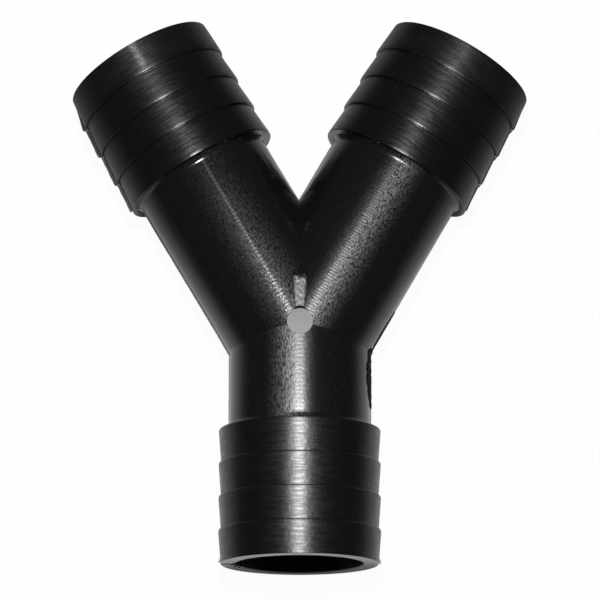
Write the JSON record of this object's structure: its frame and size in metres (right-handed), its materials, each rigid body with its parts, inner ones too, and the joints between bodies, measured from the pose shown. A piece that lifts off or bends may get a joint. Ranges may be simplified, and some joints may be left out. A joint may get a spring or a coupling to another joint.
{
  "type": "tubing y connector",
  "caption": "Moulded Y connector with barbed hose tails on a stem and branches that spread from it, bored through to join the lines.",
  "frame": {"origin": "the point where the axes of the stem and the branches meet, in the middle plane", "axes": "-Y along the stem towards its mouth, the branches spread to each side of +Y, +Z square to the plane of the axes, on the side with the round pin pad"},
  "size_m": [0.1148, 0.1363, 0.0394],
  "materials": {
    "black_plastic": "satin"
  },
  "bodies": {
    "root": {"y_connector": "black_plastic"}
  },
  "joints": []
}
